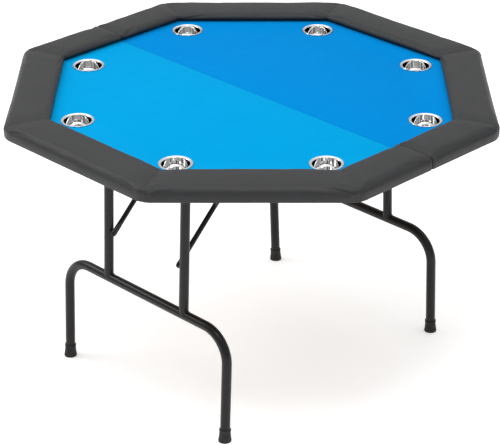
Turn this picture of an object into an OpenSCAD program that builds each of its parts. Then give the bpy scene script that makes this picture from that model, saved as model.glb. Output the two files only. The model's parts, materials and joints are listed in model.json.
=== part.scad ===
// Folding octagonal card table.
// Two half tops hinged under the seam, a padded rail, eight drop-in cup holders,
// and two leg frames that fold inward on two-link struts.
// Millimetres, +Z up, floor at Z = 0. The seam runs along X. The left half is at -Y
// and the right half at +Y, and every left piece is the mirror of a right one.

/* [Top] */
// Width of the top across its flats
top_w = 1210; // [1180:10:1250]
// Height of the playing surface above the floor
felt_z = 732; // [700:1:760]
// Thickness of the felt with its foam backing
felt_t = 2; // [1:0.5:3]
// Thickness of each half board
board_t = 12; // [10:1:15]
// Gap between the two halves at the seam
seam_gap = 1; // [0.6:0.1:2]

/* [Rail] */
// Width of the rail at the playing surface
rail_w = 114; // [105:1:120]
// Height of the rail above the playing surface
rail_rise = 22; // [20:1:26]
// Radius of the rail's outer top edge
rail_round = 22; // [14:1:24]
// Radius of the rail's outer corners, seen from above
corner_r = 60; // [50:5:90]
// Thickness of the cover where it wraps under the board
wrap_t = 3; // [2:0.5:4]

/* [Cup holders] */
// Distance of each cup holder from the middle of the table
cup_ring = 463; // [455:1:465]
// Outer radius of the cup's well
cup_r = 35.5; // [33:0.5:36]
// Radius of the cup's flange
flange_r = 41.5; // [40:0.5:43]
// Depth of the cup below the playing surface
cup_depth = 52; // [40:1:60]
// Thickness of the cup's sheet metal
cup_wall = 1.2; // [0.8:0.1:1.5]

/* [Leg frames] */
// Distance of each leg pivot from the seam
pivot_y = 360; // [355:1:362]
// Depth of the pivot axis below the board
pivot_drop = 17; // [17:1:20]
// Outward lean of an open leg frame, in degrees
lean = 2.43; // [1:0.01:3]
// Outer diameter of the bent leg tube
tube_d = 25; // [24.6:0.1:25.4]
// Outer diameter of the uprights
upright_d = 24.5; // [22:0.5:24.5]
// Outer diameter of the pivot tube
pivot_d = 25; // [24.6:0.1:26]
// Wall thickness of the tubes
tube_wall = 1.5; // [1:0.1:2]
// Distance of each foot from the frame's middle
foot_x = 296; // [285:1:305]
// Distance of each upright from the frame's middle
upright_x = 140; // [138:1:142]
// Distance of the crossbar below the pivot axis
bar_drop = 410; // [400:1:415]
// Centreline radius of the leg tube's bends
bend_r = 78; // [60:1:90]
// Height of a rubber foot
foot_h = 34; // [28:1:40]

/* [Struts] */
// Distance of each strut pivot from the leg's pivot
strut_reach = 280; // [276:1:284]
// Outer diameter of the lower strut's tube
strut_d = 13; // [12:0.5:13]
// Width of the upper strut's flat bar
strut_bar_w = 18; // [14:1:18]

/* [Seam hardware] */
// Depth of the seam hinge's axis below the board
hinge_drop = 5.5; // [5:0.1:7]
// Distance of the outer seam hinges from the middle
hinge_x = 455; // [450:1:460]
// Distance of the seam bolts from the middle
bolt_x = 350; // [345:1:355]

/* [Hidden] */
$fn = 64;
apothem = top_w / 2;
board_z = felt_z - felt_t - board_t;      // underside of the boards
board_top = felt_z - felt_t;
rail_in = apothem - rail_w;
rail_top = felt_z + rail_rise;
rail_bottom = board_z - wrap_t;
side_skin = 4;                             // cover and foam on the rail's outer side
board_ap = apothem - side_skin;
corner_c = apothem - corner_r;             // side to centre of the rail's rounded corners
board_clip = corner_c / cos(22.5) + (corner_r - side_skin) * cos(22.5);
core_in = rail_in + 18;                    // wooden core of the rail
core_out = board_ap - 7;
core_top = rail_top - 9;
wrap_in = apothem - 45;                    // where the cover ends under the board
felt_ap = core_in - 1;
lip_r = 10;                                // rail's inner top edge
hem_r = 5;                                 // rail's outer bottom edge
cup_hole_r = cup_r + 2;
cup_corner = 6;
pivot_z = board_z - pivot_drop;
leg_len = pivot_z / cos(lean);
tube_r = tube_d / 2;
pivot_half = 178;                          // half the pivot tube's length
bracket_x = 165;
running = 0.06;                            // radial clearance of a turning fit
sole_t = 4;                                // rubber under the end of a leg tube

// Strut pivots: on the leg, and under the board
leg_pin = [pivot_y + strut_reach * sin(lean), pivot_z - strut_reach * cos(lean)];
board_pin = [pivot_y - strut_reach, pivot_z];
strut_rise = atan2(board_pin[1] - leg_pin[1], leg_pin[0] - board_pin[0]);
link = norm(board_pin - leg_pin) / 2;
tongue_t = 4;                              // flattened ends of the lower strut
tongue_w = 16;
tongue_l = 20;
taper_end = 36;                            // where the flattened end has become round
strut_x = upright_x - upright_d / 2 - strut_d / 2 - 1;
bar_t = 3;
bar_x = strut_x - strut_d / 2 - 3.5;       // middle of the upper strut's bar
pin_r = 3;
lug_x = bar_x - 6;                         // middle of the bracket's lug
lug_t = 3;

plate_t = 3;
leaf_t = 2;
hinge_z = board_z - hinge_drop;
knuckle_r = 4.5;
leaf_w = 60;
leaf_l = 32;
hinge_pin_r = 2;
knuckle_gap = 0.3;
hinge_places = [-hinge_x, 0, hinge_x];
bolt_z = board_z - 7;
bolt_r = 4;
bolt_reach = 22;                           // travel of a seam bolt

screw_r = 2;
screw_head_r = 3.8;
screw_head_t = 1.8;
screw_deep = 8;                            // how far a screw goes into the board

STEEL = [0.20, 0.19, 0.19];
RUBBER = [0.09, 0.09, 0.09];
ZINC = [0.70, 0.71, 0.72];
CHROME = [0.85, 0.86, 0.87];
LEATHER = [0.28, 0.285, 0.29];
FELT = [0.0, 0.60, 0.90];
WOOD = [0.62, 0.49, 0.34];

// ---------- helpers ----------

// Points of an arc about c, from angle a to angle b, in n steps
function arc(c, r, a, b, n = 6) =
    [for (i = [0:n]) let (t = a + (b - a) * i / n) c + r * [cos(t), sin(t)]];

// Draws a right-hand piece as the left-hand one
module left() mirror([0, 1, 0]) children();

// Puts a piece at +X (side 1) or at -X (side -1)
module at_x(side) mirror([side < 0 ? 1 : 0, 0, 0]) children();

// A cylinder along +X, starting at X = x
module rod_x(x, r, length) translate([x, 0, 0]) rotate([0, 90, 0]) cylinder(r = r, h = length);

// A cylinder along +Y, starting at Y = y
module rod_y(y, r, length) translate([0, y, 0]) rotate([-90, 0, 0]) cylinder(r = r, h = length);

module octagon(ap) rotate(22.5) circle(r = ap / cos(22.5), $fn = 8);

// Half of an octagonal plate, on the right of the seam, its corners clipped at distance clip
module half_plate(ap, clip, z, t)
    translate([0, 0, z]) linear_extrude(t) intersection() {
        octagon(ap);
        rotate(22.5) octagon(clip);
        translate([-ap, seam_gap / 2]) square([2 * ap, ap]);
    }

// One side of an octagonal ring, cut to its mitres: section is [distance out, height].
// Beyond corner_c it turns halfway round each corner instead of running on.
module mitred_side(section) {
    half = corner_c * tan(22.5);
    intersection() {
        rotate([90, 0, 0]) linear_extrude(2 * half, center = true) polygon(section);
        linear_extrude(rail_top + 1)
            polygon([[0, 0], [corner_c, -half], [top_w, -half], [top_w, half], [corner_c, half]]);
    }
    for (s = [0, 1]) mirror([0, s, 0]) translate([corner_c, half, 0])
        rotate_extrude(angle = 22.5) intersection() {
            translate([-corner_c, 0]) polygon(section);
            square([top_w, rail_top + 1]);
        }
}

// Half of an octagonal ring, on the right of the seam
module half_ring(section)
    intersection() {
        union() for (k = [0:4]) rotate([0, 0, 45 * k]) mitred_side(section);
        translate([-top_w, seam_gap / 2, 0]) cube([2 * top_w, top_w, rail_top + 1]);
    }

module at_cup(k) {
    a = 22.5 + 45 * (k - 1);
    translate([cup_ring * cos(a), cup_ring * sin(a), felt_z]) children();
}

// ---------- screws: [x, y, height of the face that the head bears on] ----------

leaf_face = board_z - leaf_t;
plate_face = board_z - plate_t;
hinge_screws = [for (x = hinge_places, dx = [-20, 20], y = [13, 25]) [x + dx, y, leaf_face]];
pivot_screws = [for (s = [-1, 1], dx = [-16, 16], dy = [-20, 20])
    [s * bracket_x + dx, pivot_y + dy, plate_face]];
strut_screws = [for (s = [-1, 1], dy = [-13, 13])
    [s * (lug_x - 13), board_pin[0] + dy, plate_face]];
guide_screws = [for (s = [-1, 1], dx = [-12, 12], y = [8, 56]) [s * bolt_x + dx, y, leaf_face]];
keeper_screws = [for (s = [-1, 1], dx = [-12, 12]) [s * bolt_x + dx, 15, leaf_face]];
screws_common = concat(hinge_screws, pivot_screws, strut_screws);
left_screws = concat(screws_common, guide_screws);
right_screws = concat(screws_common, keeper_screws);

module screw_set(places)
    for (p = places) translate([p[0], p[1], 0]) {
        translate([0, 0, p[2] - screw_head_t]) cylinder(r = screw_head_r, h = screw_head_t);
        translate([0, 0, p[2]]) cylinder(r = screw_r, h = board_z + screw_deep - p[2]);
    }

// Clearance for the screws: wider than the shank, so nothing binds
module screw_holes(places)
    for (p = places) translate([p[0], p[1], board_z - 10])
        cylinder(r = screw_r + 0.1, h = 10 + screw_deep + 0.5);

// ---------- top ----------

module board(places)
    color(WOOD) difference() {
        half_plate(board_ap, board_clip, board_z, board_t);
        for (k = [1:4]) at_cup(k) translate([0, 0, -felt_t - board_t - 1])
            cylinder(r = cup_hole_r, h = board_t + 2);
        screw_holes(places);
    }

module felt()
    color(FELT) difference() {
        half_plate(felt_ap, felt_ap / cos(22.5), board_top, felt_t);
        for (k = [1:4]) at_cup(k) translate([0, 0, -felt_t - 1])
            cylinder(r = cup_hole_r, h = felt_t + 2);
    }

module rail_core()
    color(WOOD) half_ring([
        [core_in, board_top], [core_out, board_top], [core_out, core_top], [core_in, core_top]
    ]);

// Foam and cover, from the playing surface over the core and round under the board
module rail_pad()
    color(LEATHER) half_ring(concat(
        [[rail_in, felt_z]],
        arc([rail_in + 14, rail_top - lip_r], lip_r, 160, 90),
        arc([apothem - rail_round, rail_top - rail_round], rail_round, 90, 0),
        arc([apothem - hem_r, rail_bottom + hem_r], hem_r, 0, -90),
        [[wrap_in, rail_bottom], [wrap_in, board_z], [board_ap, board_z], [board_ap, board_top],
         [core_out, board_top], [core_out, core_top], [core_in, core_top], [core_in, felt_z]]
    ));

// Drawn sheet-metal cup with a rolled flange that rests on the felt
module cup_holder(k) {
    lift = 0.2;
    bead = 1.1;
    neck = 2;
    floor_r = cup_r - cup_corner;
    color(CHROME) at_cup(k) rotate_extrude($fn = 96) polygon(concat(
        [[0, -cup_depth]],
        arc([floor_r, cup_corner - cup_depth], cup_corner, -90, 0),
        [[cup_r, lift]],
        arc([flange_r - bead, lift + bead], bead, -90, 120),
        [[flange_r - 3 * bead, lift + cup_wall]],
        arc([cup_r - cup_wall + neck, lift + cup_wall - neck], neck, 90, 180),
        arc([floor_r, cup_corner - cup_depth], cup_corner - cup_wall, 0, -90),
        [[0, cup_wall - cup_depth]]
    ));
}

// ---------- seam hinges ----------

// The knuckles of one leaf: the two outer ones, or the middle one
module knuckles(outer, r, grow = 0) {
    third = leaf_w / 3;
    starts = outer ? [-leaf_w / 2, third / 2] : [-third / 2];
    for (x = starts)
        translate([0, 0, hinge_z]) rod_x(x + knuckle_gap - grow, r, third - 2 * knuckle_gap + 2 * grow);
}

module hinge_leaf(outer)
    for (x = hinge_places) translate([x, 0, 0]) difference() {
        union() {
            difference() {
                translate([-leaf_w / 2, seam_gap, leaf_face]) cube([leaf_w, leaf_l, leaf_t]);
                knuckles(!outer, knuckle_r + 0.4, 2 * knuckle_gap);
            }
            knuckles(outer, knuckle_r);
        }
        translate([0, 0, hinge_z]) rod_x(-leaf_w, hinge_pin_r + running, 2 * leaf_w);
        for (dx = [-20, 20], y = [13, 25]) translate([dx, y, leaf_face - 1])
            cylinder(r = screw_r + 0.1, h = leaf_t + 2);
    }

module hinge_pins()
    color(ZINC) for (x = hinge_places) translate([0, 0, hinge_z])
        rod_x(x - leaf_w / 2 - 1, hinge_pin_r, leaf_w + 2);

// ---------- seam bolts, drawn back at rest ----------

module bolt_bridge(y, length)
    difference() {
        translate([-7, y, bolt_z - 7]) cube([14, length, board_z - bolt_z + 7 - leaf_t / 2]);
        translate([0, 0, bolt_z]) rod_y(y - 1, bolt_r + 0.08, length + 2);
    }

// Drawn for the right, and mirrored onto the left half
module bolt_guides()
    for (s = [-1, 1]) translate([s * bolt_x, 0, 0]) {
        difference() {
            translate([-18, 3, leaf_face]) cube([36, 59, leaf_t]);
            for (dx = [-12, 12], y = [8, 56]) translate([dx, y, leaf_face - 1])
                cylinder(r = screw_r + 0.1, h = leaf_t + 2);
        }
        bolt_bridge(4, 10);
        bolt_bridge(50, 10);
    }

// Straps on the right half that the bolts are thrown into
module bolt_keepers()
    for (s = [-1, 1]) translate([s * bolt_x, 0, 0]) {
        difference() {
            translate([-18, 8, leaf_face]) cube([36, 14, leaf_t]);
            for (dx = [-12, 12]) translate([dx, 15, leaf_face - 1])
                cylinder(r = screw_r + 0.1, h = leaf_t + 2);
        }
        difference() {
            translate([-7.5, 9, bolt_z - 7]) cube([15, 9, board_z - bolt_z + 7 - leaf_t / 2]);
            translate([-bolt_r - 0.6, 8, bolt_z - bolt_r - 0.6])
                cube([2 * bolt_r + 1.2, 12, leaf_face - bolt_z + bolt_r + 0.6]);
        }
    }

module seam_bolt(side)
    color(ZINC) at_x(side) left() translate([bolt_x, 0, bolt_z]) {
        rod_y(4, bolt_r, 74);
        translate([0, 46, -14]) cylinder(r = 3, h = 12);
        translate([0, 46, -17]) cylinder(r = 4.5, h = 4);
    }

// ---------- leg frames: drawn about the pivot axis, then leaned outward ----------

module in_frame() translate([0, pivot_y, pivot_z]) rotate([lean, 0, 0]) children();

module pivot_tube()
    color(STEEL) in_frame() difference() {
        rod_x(-pivot_half, pivot_d / 2, 2 * pivot_half);
        rod_x(-pivot_half - 1, pivot_d / 2 - tube_wall, 2 * pivot_half + 2);
    }

module pivot_plugs()
    color(RUBBER) in_frame() for (s = [-1, 1]) at_x(s) {
        rod_x(pivot_half, pivot_d / 2 - 0.2, 2);
        rod_x(pivot_half - 8, pivot_d / 2 - tube_wall, 8);
    }

module upright(side)
    color(STEEL) at_x(side) in_frame() difference() {
        translate([upright_x, 0, -bar_drop]) cylinder(r = upright_d / 2, h = bar_drop);
        translate([upright_x, 0, -bar_drop - 1])
            cylinder(r = upright_d / 2 - tube_wall, h = bar_drop + 2);
        rod_x(upright_x - 30, pivot_d / 2, 60);
        translate([0, 0, -bar_drop]) rod_x(upright_x - 30, tube_r, 60);
    }

// Crossbar, two bends and two legs as one path; past is how far it runs on below the legs
module leg_path(r, past) {
    straight = foot_x - bend_r;
    translate([0, 0, -bar_drop]) rod_x(-straight, r, 2 * straight);
    for (s = [-1, 1]) at_x(s) {
        translate([straight, 0, -bar_drop - bend_r]) rotate([90, 0, 0])
            rotate_extrude(angle = 90) translate([bend_r, 0]) circle(r = r);
        translate([foot_x, 0, sole_t - leg_len - past])
            cylinder(r = r, h = leg_len - sole_t + past - bar_drop - bend_r);
    }
}

module leg_tube()
    color(STEEL) in_frame() difference() {
        leg_path(tube_r, 0);
        leg_path(tube_r - tube_wall, 1);
    }

// Rubber ferrule: a small rim, a waist and a flared sole, cut level with the floor
module foot(side)
    color(RUBBER) at_x(side) intersection() {
        in_frame() translate([foot_x, 0, -leg_len]) difference() {
            rotate_extrude() polygon([
                [0, -3], [16.5, -3], [16.5, 4], [15.9, 7], [14.6, 18], [14.1, foot_h - 5],
                [14.9, foot_h - 4], [14.9, foot_h - 1], [14.1, foot_h], [0, foot_h]
            ]);
            translate([0, 0, sole_t]) cylinder(r = tube_r, h = foot_h);
        }
        cube(top_w);
    }

// ---------- struts ----------

// Pins on the uprights that the lower struts turn on
module strut_rivets() {
    face = strut_x - tongue_t / 2;
    color(STEEL) for (s = [-1, 1]) at_x(s) in_frame() translate([0, 0, -strut_reach]) {
        difference() {
            rod_x(strut_x + tongue_t / 2 + 0.3, 6, 10);
            translate([upright_x, 0, -20]) cylinder(r = upright_d / 2, h = 40);
        }
        rod_x(face - 0.5, pin_r, tongue_t + 1);
        rod_x(face - 2, 5.5, 1.7);
    }
}

// Round tube with flattened ends: a hole at the leg, half a rivet at the elbow
module lower_strut(side)
    color(STEEL) at_x(side) translate([strut_x, leg_pin[0], leg_pin[1]])
        rotate([90 - strut_rise, 0, 0]) {
            difference() {
                union() {
                    for (z = [0, link]) translate([0, 0, z])
                        rod_x(-tongue_t / 2, tongue_w / 2, tongue_t);
                    for (z = [0, link - tongue_l]) translate([-tongue_t / 2, -tongue_w / 2, z])
                        cube([tongue_t, tongue_w, tongue_l]);
                }
                rod_x(-tongue_t, pin_r + running, 2 * tongue_t);
            }
            flattened(tongue_l, taper_end);
            flattened(link - tongue_l, link - taper_end);
            translate([0, 0, taper_end]) cylinder(r = strut_d / 2, h = link - 2 * taper_end);
            translate([0, 0, link]) {
                rod_x(-strut_d / 2 - 0.8, 4, strut_d / 2);
                rod_x(tongue_t / 2, 5.5, 1.7);
            }
        }

// From a flat tongue at height a to a round tube at height b
module flattened(a, b)
    hull() {
        translate([0, 0, a]) cube([tongue_t, tongue_w, 0.1], center = true);
        translate([0, 0, b]) cylinder(r = strut_d / 2, h = 0.1, center = true, $fn = 32);
    }

// Flat bar: a hole at the board's bracket, half a rivet at the elbow
module upper_strut(side)
    color(STEEL) at_x(side) translate([bar_x, board_pin[0], board_pin[1]])
        rotate([270 - strut_rise, 0, 0]) {
            difference() {
                union() {
                    for (at = [0, link]) translate([0, 0, at]) rod_x(-bar_t / 2, strut_bar_w / 2, bar_t);
                    translate([-bar_t / 2, -strut_bar_w / 2, 0]) cube([bar_t, strut_bar_w, link]);
                }
                rod_x(-bar_t, pin_r + running, 2 * bar_t);
            }
            translate([0, 0, link]) {
                rod_x(-bar_t / 2 - 1.7, 5.5, 1.7);
                rod_x(bar_t / 2, 4, 0.9);
            }
        }

// Plate under the board with a lug and a pin for the upper strut
module strut_brackets()
    color(STEEL) for (s = [-1, 1]) at_x(s) translate([0, board_pin[0], 0]) {
        difference() {
            translate([lug_x - 24, -20, plate_face]) cube([24 + lug_t / 2, 40, plate_t]);
            for (dy = [-13, 13]) translate([lug_x - 13, dy, plate_face - 1])
                cylinder(r = screw_r + 0.1, h = plate_t + 2);
        }
        translate([0, 0, pivot_z]) {
            rod_x(lug_x - lug_t / 2, 10, lug_t);
            translate([lug_x - lug_t / 2, -10, 0]) cube([lug_t, 20, pivot_drop - plate_t / 2]);
            rod_x(lug_x, 6, bar_x - bar_t / 2 - 0.3 - lug_x);
            rod_x(lug_x, pin_r, bar_x + bar_t / 2 + 1 - lug_x);
            rod_x(bar_x + bar_t / 2 + 0.3, 5, 1.3);
        }
    }

// Plates under the board whose bosses carry the pivot tube
module pivot_brackets() {
    boss_r = pivot_d / 2 + 4;
    boss_w = 20;
    color(STEEL) for (s = [-1, 1]) at_x(s) translate([bracket_x, pivot_y, 0]) difference() {
        union() {
            translate([-22, -26, plate_face]) cube([44, 52, plate_t]);
            translate([-boss_w / 2, -boss_r, pivot_z]) cube([boss_w, 2 * boss_r, pivot_drop - 1]);
            translate([0, 0, pivot_z]) rod_x(-boss_w / 2, boss_r, boss_w);
        }
        translate([0, 0, pivot_z]) rod_x(-boss_w, pivot_d / 2 + running, 2 * boss_w);
        for (dx = [-16, 16], dy = [-20, 20]) translate([dx, dy, plate_face - 1])
            cylinder(r = screw_r + 0.1, h = plate_t + 2);
    }
}

// ---------- nodes ----------

left() board(left_screws);  // board_left
board(right_screws);  // board_right
left() felt();  // felt_left
felt();  // felt_right
left() rail_core();  // rail_core_left
rail_core();  // rail_core_right
left() rail_pad();  // rail_pad_left
rail_pad();  // rail_pad_right
cup_holder(1);  // cup_holder_1
cup_holder(2);  // cup_holder_2
cup_holder(3);  // cup_holder_3
cup_holder(4);  // cup_holder_4
cup_holder(5);  // cup_holder_5
cup_holder(6);  // cup_holder_6
cup_holder(7);  // cup_holder_7
cup_holder(8);  // cup_holder_8
color(ZINC) left() hinge_leaf(true);  // hinge_leaves_left
color(ZINC) hinge_leaf(false);  // hinge_leaves_right
hinge_pins();
color(ZINC) left() bolt_guides();  // seam_bolt_guides
seam_bolt(-1);  // seam_bolt_1
seam_bolt(1);  // seam_bolt_2
color(ZINC) bolt_keepers();  // seam_bolt_keepers
left() pivot_brackets();  // pivot_brackets_left
pivot_brackets();  // pivot_brackets_right
left() pivot_tube();  // pivot_tube_left
pivot_tube();  // pivot_tube_right
left() pivot_plugs();  // pivot_plugs_left
pivot_plugs();  // pivot_plugs_right
left() upright(-1);  // upright_left_1
left() upright(1);  // upright_left_2
upright(-1);  // upright_right_1
upright(1);  // upright_right_2
left() leg_tube();  // leg_tube_left
leg_tube();  // leg_tube_right
left() foot(-1);  // foot_left_1
left() foot(1);  // foot_left_2
foot(-1);  // foot_right_1
foot(1);  // foot_right_2
left() strut_rivets();  // strut_rivets_left
strut_rivets();  // strut_rivets_right
left() lower_strut(-1);  // lower_strut_left_1
left() lower_strut(1);  // lower_strut_left_2
lower_strut(-1);  // lower_strut_right_1
lower_strut(1);  // lower_strut_right_2
left() upper_strut(-1);  // upper_strut_left_1
left() upper_strut(1);  // upper_strut_left_2
upper_strut(-1);  // upper_strut_right_1
upper_strut(1);  // upper_strut_right_2
left() strut_brackets();  // strut_brackets_left
strut_brackets();  // strut_brackets_right
color(ZINC) left() screw_set(left_screws);  // screws_left
color(ZINC) screw_set(right_screws);  // screws_right
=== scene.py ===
"""Looks of the folding octagonal poker table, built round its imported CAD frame.

Everything is in metres, in the frame's own axes: +Z up, the seam along X, the left half at -Y and the
right half at +Y. The CAD nodes keep their shapes and get their finishes here. The padded rail covers,
the felts, the weld beads and the staples are made here, and each one rides on its CAD body.
"""

import json
import math

import bmesh
import bpy
from mathutils import Euler, Matrix, Vector, noise


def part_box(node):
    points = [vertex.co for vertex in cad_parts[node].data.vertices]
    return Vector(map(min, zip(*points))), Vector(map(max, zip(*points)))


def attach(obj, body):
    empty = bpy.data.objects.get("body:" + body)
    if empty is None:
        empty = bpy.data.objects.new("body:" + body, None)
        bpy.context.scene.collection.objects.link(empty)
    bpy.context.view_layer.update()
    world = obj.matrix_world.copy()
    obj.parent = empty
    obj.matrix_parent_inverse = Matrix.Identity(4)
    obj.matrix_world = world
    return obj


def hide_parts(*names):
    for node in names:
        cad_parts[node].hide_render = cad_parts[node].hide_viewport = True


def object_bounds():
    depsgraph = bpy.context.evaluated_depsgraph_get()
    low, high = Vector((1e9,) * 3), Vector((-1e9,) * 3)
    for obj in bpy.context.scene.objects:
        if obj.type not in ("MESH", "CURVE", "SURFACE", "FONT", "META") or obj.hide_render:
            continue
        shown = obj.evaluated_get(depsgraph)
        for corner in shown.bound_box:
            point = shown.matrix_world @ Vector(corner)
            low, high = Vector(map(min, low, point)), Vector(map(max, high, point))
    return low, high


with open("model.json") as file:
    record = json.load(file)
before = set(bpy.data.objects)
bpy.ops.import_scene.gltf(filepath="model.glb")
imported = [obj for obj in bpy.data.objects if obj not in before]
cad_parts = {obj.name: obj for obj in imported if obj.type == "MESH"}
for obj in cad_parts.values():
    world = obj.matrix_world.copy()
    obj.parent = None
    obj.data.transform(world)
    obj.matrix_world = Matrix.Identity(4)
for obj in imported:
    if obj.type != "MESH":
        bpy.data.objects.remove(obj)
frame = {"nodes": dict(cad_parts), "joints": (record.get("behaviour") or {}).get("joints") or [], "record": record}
cad_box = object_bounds()
nodes = frame["nodes"]
joints = {j["name"]: j for j in frame["joints"]}

# ---------- sizes taken from the frame ----------

APOTHEM = cad_box[1][0]                      # half the width across the flats
RAIL_TOP = cad_box[1][2]
RAIL_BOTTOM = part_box("rail_pad_left")[0][2]
FELT_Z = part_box("felt_left")[1][2]
BOARD_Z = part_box("board_left")[0][2]
BOARD_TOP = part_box("board_left")[1][2]
BOARD_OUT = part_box("board_right")[1][0]
CORE_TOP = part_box("rail_core_right")[1][2]
CORE_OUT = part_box("rail_core_right")[1][0]
FELT_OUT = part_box("felt_right")[1][0]
SEAM_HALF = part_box("rail_pad_right")[0][1]   # half the gap between the two halves
SIDES = {"left": -1, "right": 1}
MITRE = math.tan(math.radians(22.5))

# ---------- sizes of the pieces made here ----------

RAIL_WIDTH = 0.114                           # at the playing surface
CORNER_C = APOTHEM - 0.060                   # side to centre of the rail's rounded corners
WRAP_IN = APOTHEM - 0.045                    # where the cover ends under the board
LEAN = math.radians(2.43)                    # outward lean of an open leg frame
BAR_DROP = 0.410                             # crossbar below the pivot axis, along the leg
TUBE_R = 0.0125                              # of the crossbar


# ---------- camera ----------

def add_camera():
    """The photo's viewpoint: a long lens, looking down across one corner of the seam."""
    data = bpy.data.cameras.new("camera")
    data.sensor_width = 36
    data.lens = 146.16
    data.clip_end = 60
    camera = bpy.data.objects.new("camera", data)
    bpy.context.scene.collection.objects.link(camera)
    camera.location = (3.3735, -3.339, 2.756)
    heading, pitch, roll = math.radians(45.36), math.radians(26.765), math.radians(-0.15)
    turn = Euler((math.pi / 2 - pitch, 0, heading)).to_matrix() @ Matrix.Rotation(roll, 3, "Z")
    camera.rotation_euler = turn.to_euler()
    bpy.context.scene.camera = camera


# ---------- materials ----------

class Nodes:
    """Adds shader nodes to a tree. Sockets are linked or set, whichever the given value calls for."""

    def __init__(self, tree):
        self.tree = tree

    def put(self, value, socket):
        if isinstance(value, bpy.types.NodeSocket):
            self.tree.links.new(value, socket)
        else:
            socket.default_value = value

    def node(self, kind, inputs=(), **settings):
        made = self.tree.nodes.new("ShaderNode" + kind)
        for key, value in settings.items():
            setattr(made, key, value)
        for socket, value in dict(inputs).items():
            self.put(value, made.inputs[socket])
        return made

    def math(self, operation, one, two):
        return self.node("Math", {0: one, 1: two}, operation=operation).outputs[0]

    def stops(self, value, *stops):
        """Maps a value through stops of (place, colour)."""
        made = self.node("ValToRGB", {"Fac": value})
        elements = made.color_ramp.elements
        while len(elements) < len(stops):
            elements.new(0.5)
        for element, (place, colour) in zip(elements, stops):
            element.position = place
            element.color = (*colour, 1)
        return made.outputs["Color"]

    def greys(self, value, *stops):
        return self.stops(value, *((place, (level,) * 3) for place, level in stops))

    def mix(self, factor, one, two, **settings):
        made = self.node("Mix", data_type="RGBA", **settings)
        self.put(factor, made.inputs[0])
        for socket, value in ((made.inputs[6], one), (made.inputs[7], two)):
            self.put(value if isinstance(value, bpy.types.NodeSocket) else (*value, 1), socket)
        return made.outputs[2]


class Shader(Nodes):
    """A Principled material, and the textures that drive its sockets."""

    def __init__(self, name, color, roughness, **sockets):
        self.material = bpy.data.materials.new(name)
        self.material.use_nodes = True
        super().__init__(self.material.node_tree)
        self.bsdf = self.tree.nodes["Principled BSDF"]
        self.bsdf.inputs["Base Color"].default_value = (*color, 1)
        self.bsdf.inputs["Roughness"].default_value = roughness
        for socket, value in sockets.items():
            self.bsdf.inputs[socket.replace("_", " ")].default_value = value
        self.coords = self.node("TexCoord").outputs["Object"]

    def stretched(self, scale):
        """Object coordinates scaled by axis, for grain that runs one way."""
        return self.node("Mapping", {"Vector": self.coords, "Scale": scale}).outputs["Vector"]

    def noise(self, scale, detail=2.0, roughness=0.5, vector=None, output="Fac"):
        return self.node("TexNoise", {
            "Vector": vector or self.coords, "Scale": scale, "Detail": detail, "Roughness": roughness,
        }).outputs[output]

    def cells(self, scale, feature="F1", vector=None):
        return self.node("TexVoronoi", {"Vector": vector or self.coords, "Scale": scale},
                         feature=feature).outputs["Distance"]

    def ramp(self, value, low, high, start=0.0, end=1.0):
        """Maps a value in start to end onto the colours low to high."""
        return self.stops(value, (start, low), (end, high))

    def span(self, value, low, high):
        """Maps 0..1 onto low..high."""
        return self.node("MapRange", {"Value": value, "To Min": low, "To Max": high}).outputs["Result"]

    def color(self, value):
        self.put(value, self.bsdf.inputs["Base Color"])

    def roughness(self, value):
        self.put(value, self.bsdf.inputs["Roughness"])

    def bump(self, height, strength, distance):
        """Adds a bump on top of any bump already there."""
        inputs = {"Height": height, "Strength": strength, "Distance": distance}
        old = self.bsdf.inputs["Normal"].links
        if old:
            inputs["Normal"] = old[0].from_socket
        self.put(self.node("Bump", inputs).outputs["Normal"], self.bsdf.inputs["Normal"])


def felt_material(name, dark, light):
    """Short-pile polyester felt: matted fibres, a faint brushed nap and a soft sheen."""
    s = Shader(name, light, 0.95, Sheen_Weight=0.03, Sheen_Roughness=0.4,
               Sheen_Tint=(0.3, 0.7, 1.0, 1.0), Specular_IOR_Level=0.02)
    fibres = s.noise(1900, 3, 0.7)
    nap = s.noise(1, 4, 0.6, s.stretched((60, 9, 60)))
    patches = s.noise(3.2, 3, 0.5)
    tone = s.mix(0.3, s.ramp(fibres, dark, light, 0.30, 0.68), s.ramp(nap, dark, light, 0.20, 0.60))
    s.color(s.mix(s.span(patches, 0.1, 0.5), tone, light))
    s.bump(s.noise(900, 2, 0.6), 0.35, 0.0004)
    s.bump(fibres, 0.5, 0.0002)
    return s.material


def cover_material():
    """Soft leatherette: pebble grain in two sizes and creases between the pebbles, with painted shade darkening
    the creases so that the crests stand lighter.
    """
    s = Shader("rail_cover", (0.040, 0.041, 0.043), 0.5, Specular_IOR_Level=0.24)
    pull = s.node("VectorMath", {0: s.noise(140, output="Color"), 1: (0.004,) * 3}, operation="MULTIPLY")
    warped = s.node("VectorMath", {0: s.coords, 1: pull.outputs[0]}, operation="ADD").outputs[0]
    pebbles = s.cells(620, "DISTANCE_TO_EDGE", warped)
    small = s.cells(1500, "DISTANCE_TO_EDGE", warped)
    creases = s.ramp(pebbles, (0, 0, 0), (1, 1, 1), 0.0, 0.16)
    # Painted shade: the colour darkens in the creases between the pebbles and stays lighter on the crests
    tone = s.ramp(creases, (0.015, 0.0155, 0.016), (0.034, 0.035, 0.037))
    s.color(s.mix(s.span(s.noise(5, 3), 0.0, 0.5), tone, (0.029, 0.030, 0.031)))
    s.roughness(s.span(s.noise(38, 4), 0.38, 0.50))
    s.bump(creases, 0.3, 0.0003)
    s.bump(small, 0.25, 0.0002)
    s.bump(s.noise(26, 2), 0.12, 0.002)
    return s.material


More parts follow.
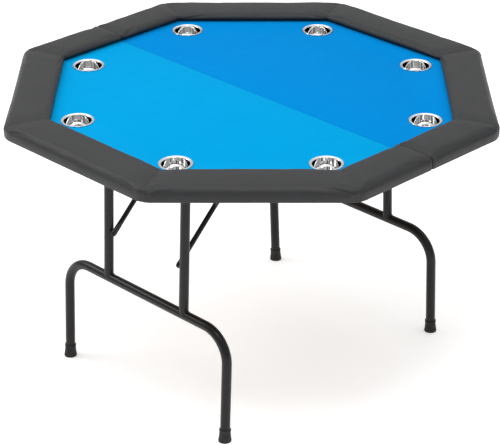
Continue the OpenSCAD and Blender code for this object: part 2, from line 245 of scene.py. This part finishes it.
def paint_material():
    """Black powder coat: satin, with a fine orange peel and faint patches of dust."""
    s = Shader("frame_paint", (0.010, 0.0095, 0.0095), 0.31, Specular_IOR_Level=0.27)
    peel = s.noise(420, 2, 0.5)
    s.color(s.ramp(s.noise(9, 5, 0.6), (0.006, 0.0055, 0.0055), (0.014, 0.0125, 0.0125), 0.3, 0.75))
    s.roughness(s.span(s.noise(55, 5, 0.65), 0.23, 0.38))
    s.bump(peel, 0.18, 0.0003)
    s.bump(s.noise(2200, 2), 0.08, 0.0001)
    return s.material


def rubber_material():
    """Moulded rubber with a dusty bloom and scuffs."""
    s = Shader("foot_rubber", (0.012, 0.012, 0.012), 0.62, Specular_IOR_Level=0.35)
    bloom = s.noise(70, 5, 0.65)
    s.color(s.ramp(bloom, (0.009, 0.009, 0.009), (0.028, 0.027, 0.026), 0.35, 0.85))
    s.roughness(s.span(s.noise(160, 4), 0.5, 0.78))
    s.bump(s.noise(1400, 3), 0.3, 0.0002)
    return s.material


def plastic_material():
    s = Shader("plug_plastic", (0.014, 0.014, 0.014), 0.42)
    s.color(s.ramp(s.noise(130, 4), (0.011, 0.011, 0.011), (0.02, 0.02, 0.02), 0.3, 0.8))
    s.roughness(s.span(s.noise(220, 3), 0.34, 0.52))
    s.bump(s.noise(1100, 2), 0.12, 0.0002)
    return s.material


def cup_material():
    """Polished stainless sheet, with faint drawing lines down the wall and light handling scratches."""
    s = Shader("cup_steel", (0.88, 0.88, 0.88), 0.06, Metallic=1.0)
    lines = s.noise(1, 3, 0.6, s.stretched((900, 900, 30)))
    scratches = s.noise(1, 4, 0.7, s.stretched((1600, 90, 1600)))
    s.color(s.ramp(lines, (0.80, 0.80, 0.80), (0.93, 0.93, 0.93), 0.3, 0.7))
    s.roughness(s.span(scratches, 0.0, 0.05))
    s.bump(lines, 0.012, 0.0001)
    s.bump(scratches, 0.012, 0.00008)
    return s.material


def zinc_material():
    """Bright zinc plate with its mottled passivation and a rolled grain."""
    s = Shader("zinc", (0.56, 0.57, 0.58), 0.36, Metallic=1.0)
    s.color(s.ramp(s.noise(90, 5, 0.65), (0.42, 0.43, 0.44), (0.66, 0.66, 0.64), 0.3, 0.75))
    s.roughness(s.span(s.noise(1, 4, 0.6, s.stretched((60, 900, 900))), 0.26, 0.5))
    s.bump(s.noise(1, 3, 0.6, s.stretched((80, 1500, 1500))), 0.15, 0.0002)
    return s.material


def wood_material(name, dark, light, sheen):
    """Fibreboard: pressed fibres and flecks, with a sealed, slightly blotchy face."""
    s = Shader(name, light, sheen)
    fibres = s.noise(1, 5, 0.65, s.stretched((500, 140, 500)))
    flecks = s.cells(420)
    tone = s.mix(0.4, s.ramp(fibres, dark, light, 0.32, 0.68), s.ramp(flecks, dark, light, 0.0, 0.55))
    s.color(s.mix(s.span(s.noise(4, 4), 0.0, 0.5), tone, dark))
    s.roughness(s.span(s.noise(30, 4), sheen - 0.1, sheen + 0.12))
    s.bump(fibres, 0.2, 0.0003)
    return s.material


def weld_material():
    """A painted weld bead: the frame's paint over a rippled, slightly rougher surface."""
    s = Shader("weld_paint", (0.018, 0.017, 0.017), 0.42, Specular_IOR_Level=0.5)
    s.color(s.ramp(s.noise(240, 4), (0.012, 0.0115, 0.011), (0.03, 0.028, 0.027), 0.3, 0.8))
    s.roughness(s.span(s.noise(300, 3), 0.34, 0.55))
    s.bump(s.noise(700, 3), 0.3, 0.0003)
    return s.material


def floor_material():
    s = Shader("floor", (0.93, 0.93, 0.93), 0.8, Specular_IOR_Level=0.1,
               Emission_Color=(1.0, 1.0, 1.0, 1.0), Emission_Strength=0.4)
    s.color(s.ramp(s.noise(2.5, 3), (0.92, 0.92, 0.92), (0.94, 0.94, 0.94)))
    return s.material


# The left half's felt is given a lighter base colour and the right half's a darker one: painted light and shade
# for the nap catching the light differently on the two halves
MATERIALS = {
    "felt_left": felt_material("felt_left", (0.0, 0.23, 0.52), (0.0, 0.31, 0.63)),
    "felt_right": felt_material("felt_right", (0.0, 0.166, 0.480), (0.0, 0.228, 0.595)),
    "rail_cover": cover_material(),
    "frame_paint": paint_material(),
    "foot_rubber": rubber_material(),
    "plug_plastic": plastic_material(),
    "cup_steel": cup_material(),
    "zinc": zinc_material(),
    "board": wood_material("board", (0.13, 0.075, 0.036), (0.27, 0.165, 0.085), 0.55),
    "rail_wood": wood_material("rail_wood", (0.20, 0.125, 0.065), (0.36, 0.24, 0.13), 0.7),
    "weld_paint": weld_material(),
}


def finish_nodes():
    """Gives every CAD node the material of its slot."""
    slots = {s["node"]: s["material_slot"] for s in frame["record"]["subparts"]}
    for name, obj in nodes.items():
        slot = slots[name] if slots[name] != "felt" else name
        obj.data.materials.clear()
        obj.data.materials.append(MATERIALS[slot])


# ---------- mesh helpers ----------

def add_piece(name, mesh, material, body, settle=None):
    """Makes a smooth-shaded object from a bmesh, settles it if asked, and lets it ride on a body."""
    bmesh.ops.recalc_face_normals(mesh, faces=mesh.faces)
    data = bpy.data.meshes.new(name)
    mesh.to_mesh(data)
    mesh.free()
    data.materials.append(material)
    piece = bpy.data.objects.new(name, data)
    bpy.context.scene.collection.objects.link(piece)
    if settle:
        settle(piece)
    data.shade_smooth()
    data.set_sharp_from_angle(angle=math.radians(50))
    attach(piece, body)
    return piece


def arc(cx, cy, r, start, end, steps):
    """Points of an arc, in degrees."""
    for i in range(steps + 1):
        a = math.radians(start + (end - start) * i / steps)
        yield cx + r * math.cos(a), cy + r * math.sin(a)


def bridge_loops(mesh, one, two):
    for i in range(len(one)):
        j = (i + 1) % len(one)
        mesh.faces.new((one[i], one[j], two[j], two[i]))


# ---------- the padded rail ----------

END = 0.035                                  # stretch at each end of a side that is drawn finely
NEAR = (0, 0.0006, 0.0012, 0.002, 0.003, 0.0045, 0.007, 0.011, 0.017, 0.025, END)
TURN = (0, 0.025, 0.05, 0.085, 0.13, 0.19, 0.29, 0.42, 0.6, 0.8)   # shares of a corner, from its mitre
SEWN = TURN[:2]                              # those that lie in the mitre's seam


def rail_profile():
    """The cover's section as (distance out, height, how far foam lets it move), counted from the felt.

    It runs up the inner face, over the crown, down the round outer face, under the board to its stapled
    edge, and back along the board, the wooden core and the felt.
    """
    inner = APOTHEM - RAIL_WIDTH
    crown = 0.0016
    lip, outer, hem = 0.010, 0.014, 0.004
    top = RAIL_TOP - 0.0026
    left, right = inner + 0.0105, APOTHEM - outer
    points = [(inner + 0.0145, FELT_Z + 0.0002, 0.0), (inner + 0.0108, FELT_Z + 0.0020, 0.0)]
    points += [(inner + 0.0062, FELT_Z + 0.0044, 0.2), (inner + 0.0027, FELT_Z + 0.0070, 0.5)]
    points += [(inner + 0.0009, FELT_Z + 0.0100, 0.9)]
    points += [(x, z, 1.0) for x, z in arc(left, top - lip, lip, 168, 90, 7)]
    steps = 14
    for i in range(1, steps):
        u = i / steps
        points.append((left + (right - left) * u, top + crown * math.sin(math.pi * u) - 0.001 * u, 1.0))
    points += [(x, z, 1.0) for x, z in arc(right, top - outer - 0.001, outer, 90, 0, 12)]
    points += [(APOTHEM - 0.0004, RAIL_BOTTOM + hem + 0.005, 0.8)]
    points += [(APOTHEM - 0.0011, RAIL_BOTTOM + hem + 0.0025, 0.6)]
    points += [(x, z, 0.4) for x, z in arc(APOTHEM - hem, RAIL_BOTTOM + hem - 0.001, hem - 0.001, 10, -90, 6)]
    points += [(WRAP_IN + 0.02, RAIL_BOTTOM + 0.0002, 0.1), (WRAP_IN, RAIL_BOTTOM, 0.0)]
    points += [(WRAP_IN - 0.001, BOARD_Z, 0.0), (BOARD_OUT, BOARD_Z, 0.0), (BOARD_OUT, BOARD_TOP, 0.0)]
    points += [(CORE_OUT, BOARD_TOP, 0.0), (CORE_OUT, CORE_TOP, 0.0)]
    points += [(FELT_OUT + 0.001, CORE_TOP, 0.0), (FELT_OUT + 0.001, FELT_Z + 0.0002, 0.0)]
    return points


def profile_normals(points):
    """The outward direction of each point of a closed, clockwise section."""
    count = len(points)
    out = []
    for i in range(count):
        a, b = points[i - 1], points[(i + 1) % count]
        along = Vector((b[0] - a[0], b[1] - a[1]))
        out.append(Vector((-along.y, along.x)).normalized())
    return out


class RailSide:
    """One side of a half's rail, numbered 0 to 4 from the seam's +X end to its -X end."""

    def __init__(self, half, number):
        sign, face = SIDES[half], math.radians(45 * number)
        self.number = number
        self.first, self.last = number == 0, number == 4
        self.out = Vector((math.cos(face), sign * math.sin(face), 0))
        self.along = Vector((-math.sin(face), sign * math.cos(face), 0))

    def stations(self):
        """Where the section is drawn, crowded towards the mitres and the seam, as (kind, value)."""
        length = CORNER_C * MITRE * (1 if self.first or self.last else 2)
        middle = round((length - 2 * END) / 0.016)
        turn_in = [] if self.first else [("turn in", share) for share in TURN]
        turn_out = [] if self.last else [("turn out", share) for share in reversed(TURN)]
        straight = [("start", d) for d in NEAR] + [("middle", i / middle) for i in range(1, middle)]
        return turn_in + straight + [("end", d) for d in reversed(NEAR)] + turn_out

    def place(self, out, kind, value):
        """Distance out, distance along, and angle round the corner of a section's point at a station."""
        corner = min(out, CORNER_C) * MITRE
        start = SEAM_HALF if self.first else -corner
        end = -SEAM_HALF if self.last else corner
        if kind == "start":
            return out, start + value, 0.0
        if kind == "end":
            return out, end - value, 0.0
        if kind == "middle":
            return out, start + END + (end - start - 2 * END) * value, 0.0
        way = -1 if kind == "turn in" else 1
        if out <= CORNER_C:
            return out, way * corner, 0.0
        angle = way * math.radians(22.5) * (1 - value)
        r = out - CORNER_C
        return CORNER_C + r * math.cos(angle), way * corner + r * math.sin(angle), angle

    def sink(self, here, along, index):
        """How far the cover is drawn in at a point: sewn mitres, puckers beside them, and soft ends."""
        groove, groove_width, pucker, seam_round = 0.0014, 0.0022, 0.0006, 0.0065
        sink = 0.0006 * (noise.noise(here * 11) + 0.5 * noise.noise(here * 30))
        turned = math.atan2(here.y, here.x)
        for at_seam, sign in ((self.first, -1), (self.last, 1)):
            if at_seam:
                d = abs(along) - SEAM_HALF
                if d < seam_round:
                    sink += seam_round - math.sqrt(max(0.0, seam_round ** 2 - (seam_round - d) ** 2))
            else:
                mitre = math.radians(45 * self.number + 22.5 * sign)
                d = abs(here.xy.length * math.sin(abs(turned) - mitre))
                sink += groove * math.exp(-(d / groove_width) ** 2)
                sink += pucker * math.exp(-d / 0.02) * math.sin(index * 1.9 + self.number * 2.3) ** 2
        return min(sink, seam_round)

    def ring(self, mesh, held, profile, kind, value):
        """Draws the section at a station, and marks how firmly the cover is held at each of its points."""
        at_seam = value == 0 and (self.first and kind == "start" or self.last and kind == "end")
        sewn = at_seam or kind.startswith("turn") and value in SEWN
        ring = []
        for index, ((out, z, soft), normal) in enumerate(profile):
            x, t, angle = self.place(out, kind, value)
            here = self.out * x + self.along * t + Vector((0, 0, z))
            away = self.out * math.cos(angle) + self.along * math.sin(angle)
            inward = -(away * normal.x + Vector((0, 0, normal.y)))
            vertex = mesh.verts.new(here + inward * self.sink(here, t, index) * soft)
            vertex[held] = 1.0 if sewn else max(0.0, 1 - soft * 1.2)
            ring.append(vertex)
        return ring


def swell(piece):
    """Fills a cover out over its foam by a short cloth run under pressure, held where its mesh is marked."""
    steps, most = 20, 0.003                  # frames, and how far a point may move
    held = piece.vertex_groups.new(name="held")
    marks = piece.data.attributes["held"]
    for vertex, mark in zip(piece.data.vertices, marks.data):
        held.add([vertex.index], mark.value, "REPLACE")
    cloth = piece.modifiers.new("cloth", "CLOTH")
    leather = cloth.settings
    leather.quality = 6
    leather.mass = 0.2
    leather.tension_stiffness = leather.compression_stiffness = 18
    leather.shear_stiffness = 8
    leather.bending_stiffness = 0.6
    leather.air_damping = 4
    leather.vertex_group_mass = held.name
    leather.use_pressure = True
    leather.uniform_pressure_force = 4
    leather.effector_weights.gravity = 0
    scene = bpy.context.scene
    for step in range(1, steps + 1):
        scene.frame_set(step)
    settled = piece.evaluated_get(bpy.context.evaluated_depsgraph_get()).data.vertices
    moves = [after.co - before.co for after, before in zip(settled, piece.data.vertices)]
    piece.modifiers.remove(cloth)
    piece.vertex_groups.clear()
    piece.data.attributes.remove(marks)
    scene.frame_set(1)
    for vertex, move in zip(piece.data.vertices, moves):
        vertex.co += move * min(1, most / max(move.length, 1e-9))


def rail_cover(half):
    """One half's cover: five mitred sides in one closed mesh, with sewn corners and soft ends."""
    points = rail_profile()
    profile = list(zip(points, profile_normals(points)))
    mesh = bmesh.new()
    held = mesh.verts.layers.float.new("held")
    rings = []
    for number in range(5):
        side = RailSide(half, number)
        shared = 1 if number else 0          # the first mitre is the last one of the side before
        rings += [side.ring(mesh, held, profile, *station) for station in side.stations()[shared:]]
    mesh.faces.new(rings[0])
    for one, two in zip(rings, rings[1:]):
        bridge_loops(mesh, one, two)
    mesh.faces.new(rings[-1])
    bmesh.ops.remove_doubles(mesh, verts=mesh.verts, dist=1e-6)
    bmesh.ops.triangulate(mesh, faces=[f for f in mesh.faces if len(f.verts) > 4])
    piece = add_piece(f"rail_cover_{half}", mesh, MATERIALS["rail_cover"], f"top_{half}",
                      settle=swell)
    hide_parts(f"rail_pad_{half}")


# ---------- felt ----------

def felt_cloth(half):
    """The felt on one half: the CAD sheet's outline and holes, with its edges rolled down."""
    mesh = bmesh.new()
    mesh.from_mesh(nodes[f"felt_{half}"].data)
    bmesh.ops.remove_doubles(mesh, verts=mesh.verts, dist=1e-5)
    bmesh.ops.dissolve_limit(mesh, angle_limit=math.radians(1), verts=mesh.verts, edges=mesh.edges)
    rims = [e for e in mesh.edges
            if all(v.co.z > FELT_Z - 1e-4 for v in e.verts) and e.calc_face_angle(0) > 1]
    bmesh.ops.bevel(mesh, geom=rims, offset=0.0012, segments=3, profile=0.5, affect="EDGES")
    bmesh.ops.triangulate(mesh, faces=[f for f in mesh.faces if len(f.verts) > 4])
    piece = add_piece(f"felt_cloth_{half}", mesh, MATERIALS[f"felt_{half}"], f"top_{half}")
    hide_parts(f"felt_{half}")


# ---------- weld beads ----------

def leg_to_world(half):
    """From a leg frame's own axes, about its pivot, to the frame's axes."""
    pivot = Vector(joints[f"leg_fold_{half}"]["pos_m"])
    flip = Matrix.Diagonal((1, SIDES[half], 1, 1))
    return Matrix.Translation(pivot) @ flip @ Matrix.Rotation(LEAN, 4, "X")


def bead_loop(mesh, place, centre_x, tube, other, height, below):
    """A rippled bead round the end of an upright of radius tube, on a tube of radius other along X."""
    turns, sides, bead = 90, 8, 0.0021
    path = []
    for i in range(turns):
        a = 2 * math.pi * i / turns
        x, y = (tube + 0.0003) * math.cos(a), (tube + 0.0003) * math.sin(a)
        rise = math.sqrt(max(other ** 2 - y ** 2, 0))
        path.append(Vector((centre_x + x, y, height + (-rise if below else rise))))
    rings = []
    for i, point in enumerate(path):
        along = (path[(i + 1) % turns] - path[i - 1]).normalized()
        out = Vector((point.x - centre_x, point.y, 0)).normalized()
        up = along.cross(out).normalized()
        out = up.cross(along)
        thin = 1 - 0.66 * (point.y / tube) ** 2     # at the sides, where the two tubes are flush
        ripple = 0.16 * math.sin(i * 2 * math.pi * 15 / turns) + 0.12 * noise.noise(point * 400)
        r = bead * thin * (1 + ripple)
        rings.append([mesh.verts.new(place @ (point + r * (math.cos(b) * out + math.sin(b) * up)))
                      for b in (2 * math.pi * k / sides for k in range(sides))])
    for i in range(turns):
        bridge_loops(mesh, rings[i], rings[(i + 1) % turns])


def weld_beads(half):
    """Beads where both uprights meet the pivot tube and the crossbar."""
    place = leg_to_world(half)
    low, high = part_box(f"pivot_tube_{half}")
    pivot_r = (high[2] - low[2]) / 2
    low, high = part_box(f"upright_{half}_2")
    centre_x, tube = (low[0] + high[0]) / 2, (high[0] - low[0]) / 2
    mesh = bmesh.new()
    for x in (-centre_x, centre_x):
        bead_loop(mesh, place, x, tube, TUBE_R, -BAR_DROP, below=False)
        bead_loop(mesh, place, x, tube, pivot_r, 0, below=True)
    add_piece(f"weld_beads_{half}", mesh, MATERIALS["weld_paint"], f"leg_frame_{half}")


# ---------- staples under the rail ----------

WIRE = 0.0007                                # half the width of a staple's wire


def staple(mesh, turn, middle, slant):
    """One wire staple: a flat crown whose two ends go up into the cover."""
    crown, driven = 0.010, 0.48              # length, and the share of it past which an end goes up
    along = Vector((math.sin(slant), math.cos(slant), 0)) * crown
    rings = []
    for share in (-0.5, -0.46, 0.46, 0.5):
        drop = 0.0 if abs(share) > driven else WIRE
        ring = []
        for k in range(6):
            b = math.pi * k / 3
            point = middle + along * share + Vector((WIRE * math.cos(b), 0, 0.6 * WIRE * math.sin(b) - drop))
            ring.append(mesh.verts.new(turn @ point))
        rings.append(ring)
    for one, two in zip(rings, rings[1:]):
        bridge_loops(mesh, one, two)
    for end in (rings[0], rings[-1]):
        mesh.faces.new(end)


def staples(half):
    """The staples that hold the cover's edge under the board, about one every 45 mm."""
    sign = SIDES[half]
    inset, pitch, end_gap = 0.008, 0.045, 0.02
    out = WRAP_IN + inset
    mesh = bmesh.new()
    for side in range(5):
        face = math.radians(45 * side)
        turn = Matrix.Diagonal((1, sign, 1)) @ Matrix.Rotation(face, 3, "Z")
        reach = out * MITRE - end_gap
        first, last = (end_gap if side == 0 else -reach), (-end_gap if side == 4 else reach)
        count = round((last - first) / pitch)
        for i in range(count + 1):
            t = first + (last - first) * i / count
            slant = 0.35 * noise.noise(Vector((t * 90, side, sign)))
            staple(mesh, turn, Vector((out, t, RAIL_BOTTOM + 0.0002)), slant)
    add_piece(f"staples_{half}", mesh, MATERIALS["zinc"], f"top_{half}")


# ---------- studio ----------

def add_floor():
    mesh = bmesh.new()
    bmesh.ops.create_grid(mesh, x_segments=2, y_segments=2, size=30)
    data = bpy.data.meshes.new("floor")
    mesh.to_mesh(data)
    mesh.free()
    data.materials.append(floor_material())
    floor = bpy.data.objects.new("floor", data)
    bpy.context.scene.collection.objects.link(floor)


def add_light(name, place, size, power, target=(0, 0, 0.6)):
    data = bpy.data.lights.new(name, "AREA")
    data.shape = "RECTANGLE"
    data.size, data.size_y = size
    data.energy = power
    light = bpy.data.objects.new(name, data)
    bpy.context.scene.collection.objects.link(light)
    light.location = place
    light.rotation_euler = (Vector(target) - Vector(place)).to_track_quat("-Z", "Y").to_euler()


def add_world():
    """A pale studio, white overhead. Its near walls have dark gaps between them for the steel to reflect."""
    world = bpy.data.worlds.new("studio")
    bpy.context.scene.world = world
    world.use_nodes = True
    n = Nodes(world.node_tree)
    x, y, z = n.node("SeparateXYZ", {0: n.node("TexCoord").outputs["Generated"]}).outputs
    height = n.greys(z, (0.0, 0.76), (0.30, 0.76), (0.60, 0.95), (0.80, 1.3), (0.93, 1.6))
    wave = n.math("SINE", n.math("MULTIPLY", n.math("ARCTAN2", y, x), 7.0), 0.0)
    walls = n.stops(n.node("MapRange", {"Value": wave, "From Min": -1.0}).outputs[0],
                    (0.46, (0.05, 0.032, 0.028)), (0.54, (1.0, 1.0, 1.0)))
    near = n.greys(n.math("SUBTRACT", x, y), (0.15, 0.0), (0.35, 1.0))
    low = n.greys(z, (0.70, 1.0), (0.82, 0.0))
    gaps = n.mix(1.0, near, low, blend_type="MULTIPLY")
    level = n.mix(gaps, (1.0, 1.0, 1.0), walls)
    background = n.tree.nodes["Background"].inputs
    n.put(n.mix(1.0, height, level, blend_type="MULTIPLY"), background["Color"])
    background["Strength"].default_value = 0.78


def add_studio():
    bpy.context.scene.view_settings.view_transform = "Standard"
    add_floor()
    add_world()
    add_light("key", (-3.4, -2.0, 3.6), (2.4, 2.0), 62)
    add_light("fill", (4.2, -1.5, 2.6), (2.5, 2.5), 12)
    add_light("crest", (1.3, -1.3, 4.4), (1.1, 1.1), 52)
    add_light("top", (-1.2, -0.4, 3.9), (4.0, 4.0), 22)


# ---------- build ----------

add_camera()
finish_nodes()
for name in SIDES:
    rail_cover(name)
    felt_cloth(name)
    weld_beads(name)
    staples(name)
add_studio()
